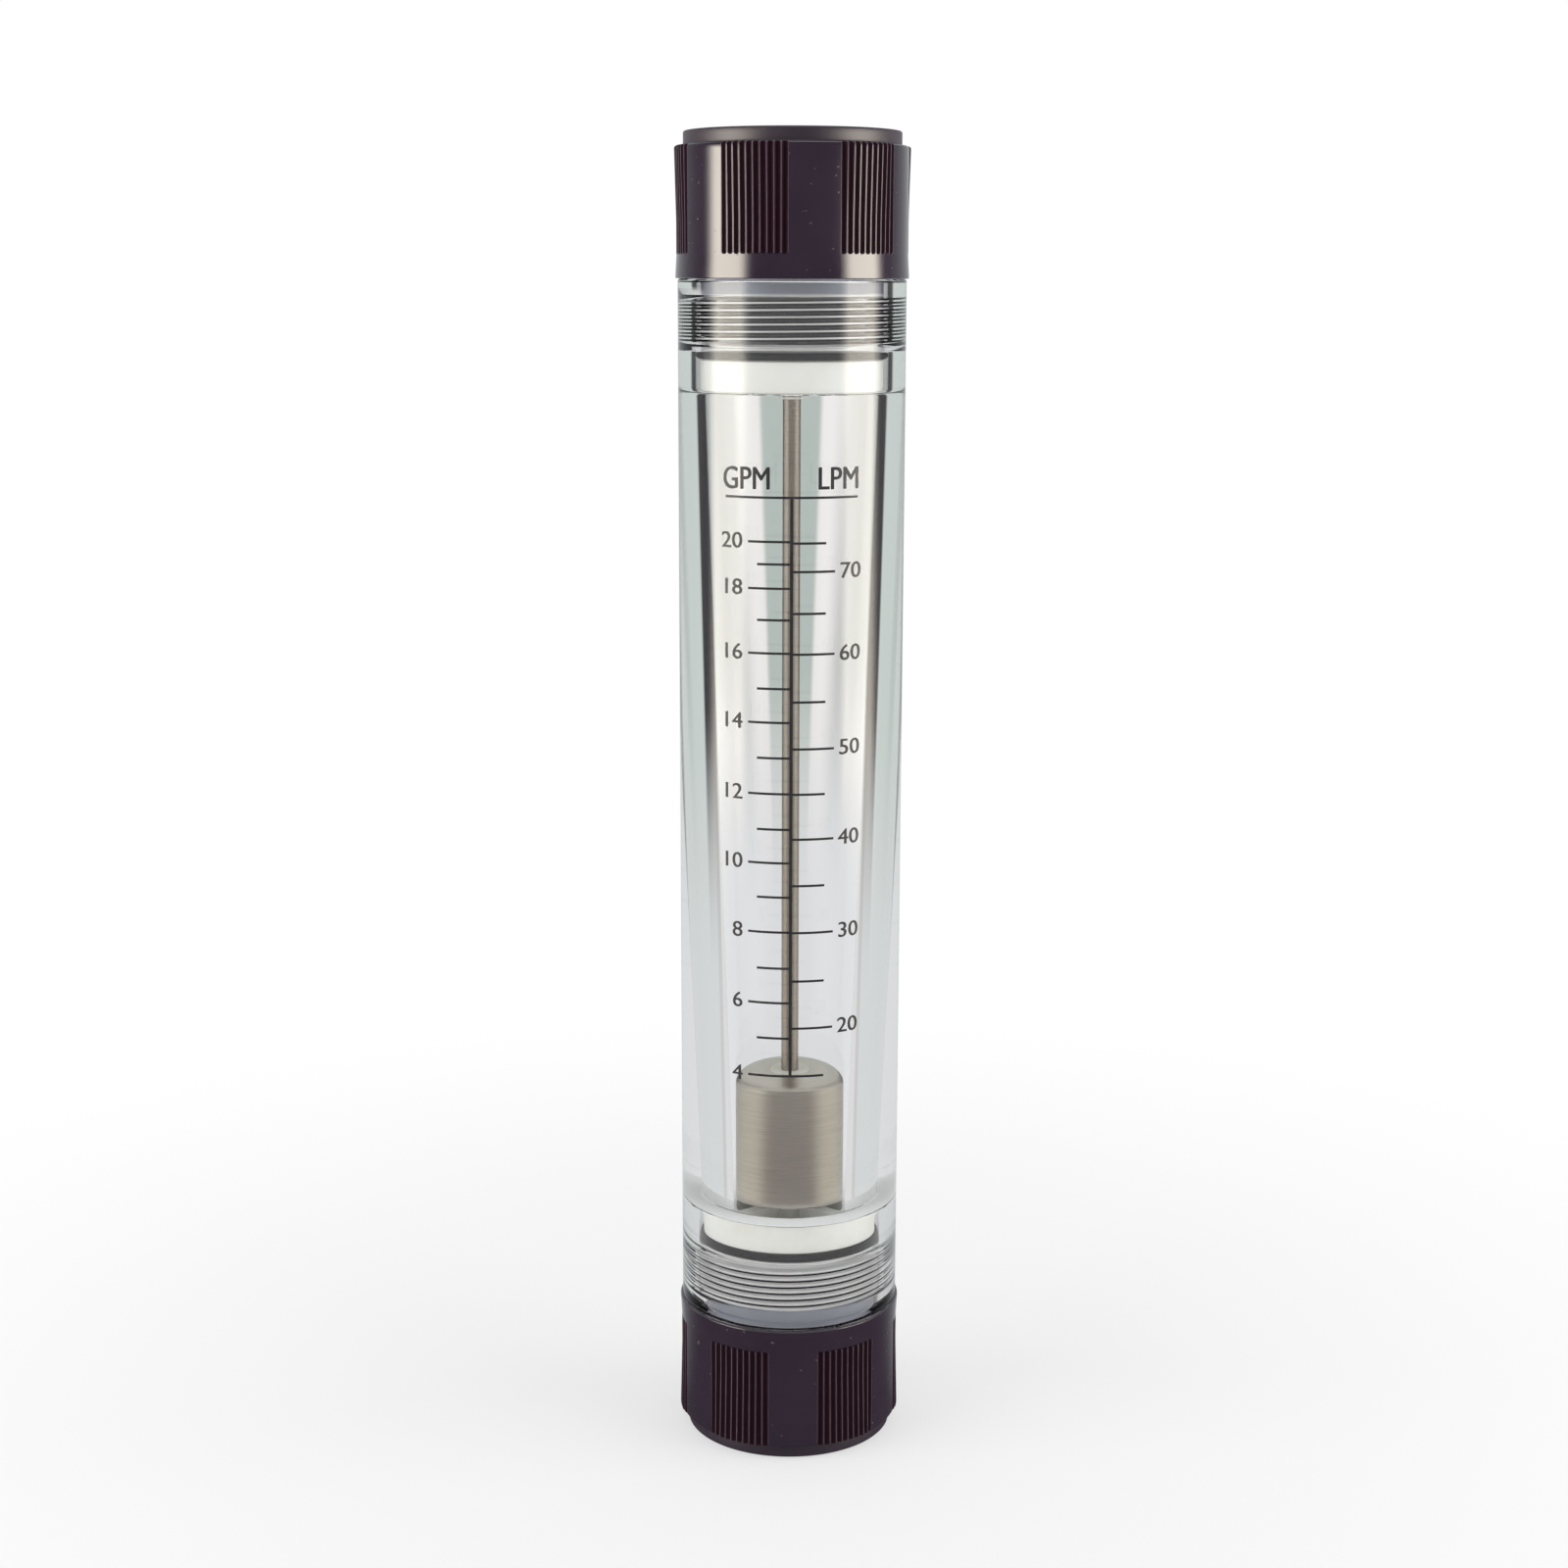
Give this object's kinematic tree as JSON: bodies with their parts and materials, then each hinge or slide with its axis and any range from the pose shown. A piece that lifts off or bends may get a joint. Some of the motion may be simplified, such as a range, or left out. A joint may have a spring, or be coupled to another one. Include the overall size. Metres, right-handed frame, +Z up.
{
  "type": "rotameter",
  "caption": "Inline rotameter: clear tapered tube with a guided metal float, ribbed end caps and female pipe threads at both ends.",
  "frame": {"origin": "centre of the lower lip's face, which the meter stands on", "axes": "+Z up along the tube, in the direction of flow; the scale faces -Y"},
  "size_m": [0.051, 0.051, 0.2966],
  "materials": {
    "clear_acrylic": "clear polished acrylic with a printed scale",
    "black_moulding": "glossy black moulding with a faint purple cast",
    "bush_steel": "turned, bright",
    "seal_rubber": "matt black",
    "white_plastic": "satin off-white",
    "rod_steel": "drawn, bright",
    "stop_plastic": "satin, slightly waxy",
    "float_steel": "fine turned satin"
  },
  "bodies": {
    "meter": {"tube_body": "clear_acrylic", "upper_end_cap": "black_moulding", "lower_end_cap": "black_moulding", "upper_threaded_bush": "bush_steel", "lower_threaded_bush": "bush_steel", "upper_sealing_ring": "seal_rubber", "lower_sealing_ring": "seal_rubber", "upper_guide_holder": "white_plastic", "lower_guide_holder": "white_plastic", "guide_rod": "rod_steel", "upper_rod_washer": "rod_steel", "lower_rod_washer": "rod_steel", "upper_rod_nut": "rod_steel", "lower_rod_nut": "rod_steel", "upper_float_stop": "stop_plastic", "lower_float_stop": "stop_plastic"},
    "float": {"float": "float_steel", "float_upper_guide": "stop_plastic", "float_lower_guide": "stop_plastic"}
  },
  "joints": [
    {"name": "float_rise", "type": "slide", "parent": "meter", "child": "float", "axis": [0, 0, 1], "range_m": [0, 0.1528]}
  ]
}
